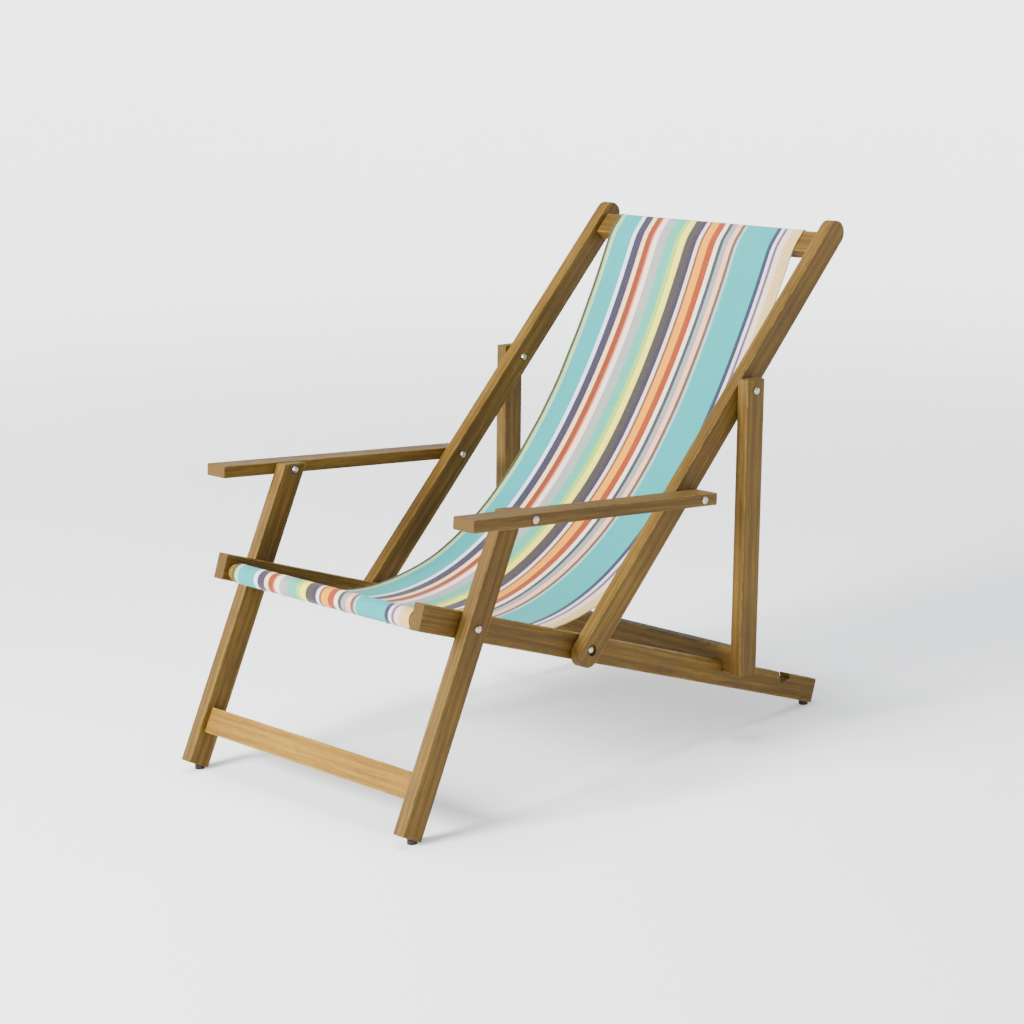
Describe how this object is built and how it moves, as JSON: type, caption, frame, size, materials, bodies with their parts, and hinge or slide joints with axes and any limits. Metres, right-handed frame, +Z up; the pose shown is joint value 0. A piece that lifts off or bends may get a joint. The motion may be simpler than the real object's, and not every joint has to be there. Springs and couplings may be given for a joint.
{
  "type": "folding deck chair with armrests",
  "caption": "Wooden folding deck chair with armrests and a striped canvas sling, set open on its prop frame.",
  "frame": {"origin": "centre of the overall box on the floor, midway between the two sides", "axes": "+X towards the sitter's left, -Y towards the front of the seat, +Z up from the floor"},
  "size_m": [0.6426, 1.022, 0.8398],
  "materials": {
    "wood": "oiled hardwood with eased edges",
    "pale_wood": "paler oiled hardwood",
    "canvas": "striped woven cotton canvas",
    "steel": "bright dome heads and cap nuts",
    "nylon": "dark brown washers",
    "plastic": "dark floor pads"
  },
  "bodies": {
    "seat_frame": {"seat_rail_left": "wood", "seat_rail_right": "wood", "front_bar": "pale_wood", "sling_seat": "canvas", "rear_glide_left": "plastic", "rear_glide_right": "plastic", "leg_pivot_bolt_left": "steel", "leg_pivot_bolt_right": "steel", "leg_pivot_nut_left": "steel", "leg_pivot_nut_right": "steel", "leg_pivot_washer_left": "nylon", "leg_pivot_washer_right": "nylon", "recline_pivot_bolt_left": "steel", "recline_pivot_bolt_right": "steel", "recline_pivot_nut_left": "steel", "recline_pivot_nut_right": "steel", "recline_pivot_washer_left": "nylon", "recline_pivot_washer_right": "nylon"},
    "back_frame": {"back_rail_left": "wood", "back_rail_right": "wood", "top_bar": "wood", "sling_back": "canvas", "arm_rear_pivot_bolt_left": "steel", "arm_rear_pivot_bolt_right": "steel", "arm_rear_pivot_nut_left": "steel", "arm_rear_pivot_nut_right": "steel", "arm_rear_pivot_washer_left": "nylon", "arm_rear_pivot_washer_right": "nylon", "prop_pivot_bolt_left": "steel", "prop_pivot_bolt_right": "steel", "prop_pivot_nut_left": "steel", "prop_pivot_nut_right": "steel", "prop_pivot_washer_left": "nylon", "prop_pivot_washer_right": "nylon"},
    "leg_frame": {"front_leg_left": "wood", "front_leg_right": "wood", "leg_crossbar": "pale_wood", "front_glide_left": "plastic", "front_glide_right": "plastic"},
    "armrest_left": {"armrest_left": "wood", "arm_front_pivot_bolt_left": "steel", "arm_front_pivot_nut_left": "steel", "arm_front_pivot_washer_left": "nylon", "arm_front_pivot_cover_left": "nylon"},
    "armrest_right": {"armrest_right": "wood", "arm_front_pivot_bolt_right": "steel", "arm_front_pivot_nut_right": "steel", "arm_front_pivot_washer_right": "nylon", "arm_front_pivot_cover_right": "nylon"},
    "prop_frame": {"prop_left": "wood", "prop_right": "wood", "prop_bar": "wood"}
  },
  "joints": [
    {"name": "back_fold", "type": "hinge", "parent": "seat_frame", "child": "back_frame", "pos_m": [0, -0.106, 0.2207], "axis": [-1, 0, 0], "range_deg": [0, 57]},
    {"name": "leg_fold", "type": "hinge", "parent": "seat_frame", "child": "leg_frame", "pos_m": [0, -0.34959, 0.30481], "axis": [-1, 0, 0], "range_deg": [0, 74.2]},
    {"name": "arm_fold_left", "type": "hinge", "parent": "back_frame", "child": "armrest_left", "pos_m": [0, 0.10527, 0.43271], "axis": [1, 0, 0], "range_deg": [0, 43.79]},
    {"name": "arm_fold_right", "type": "hinge", "parent": "back_frame", "child": "armrest_right", "pos_m": [0, 0.10527, 0.43271], "axis": [1, 0, 0], "range_deg": [0, 43.79]},
    {"name": "prop_fold", "type": "hinge", "parent": "back_frame", "child": "prop_frame", "pos_m": [0, 0.25781, 0.58578], "axis": [1, 0, 0], "range_deg": [0, 307]}
  ],
  "couplings": [
    {"joint": "leg_fold", "follows": "back_fold", "ratio": 1.3018},
    {"joint": "arm_fold_left", "follows": "back_fold", "ratio": 0.7682},
    {"joint": "arm_fold_right", "follows": "back_fold", "ratio": 0.7682},
    {"joint": "prop_fold", "follows": "back_fold", "ratio": 5.386}
  ]
}
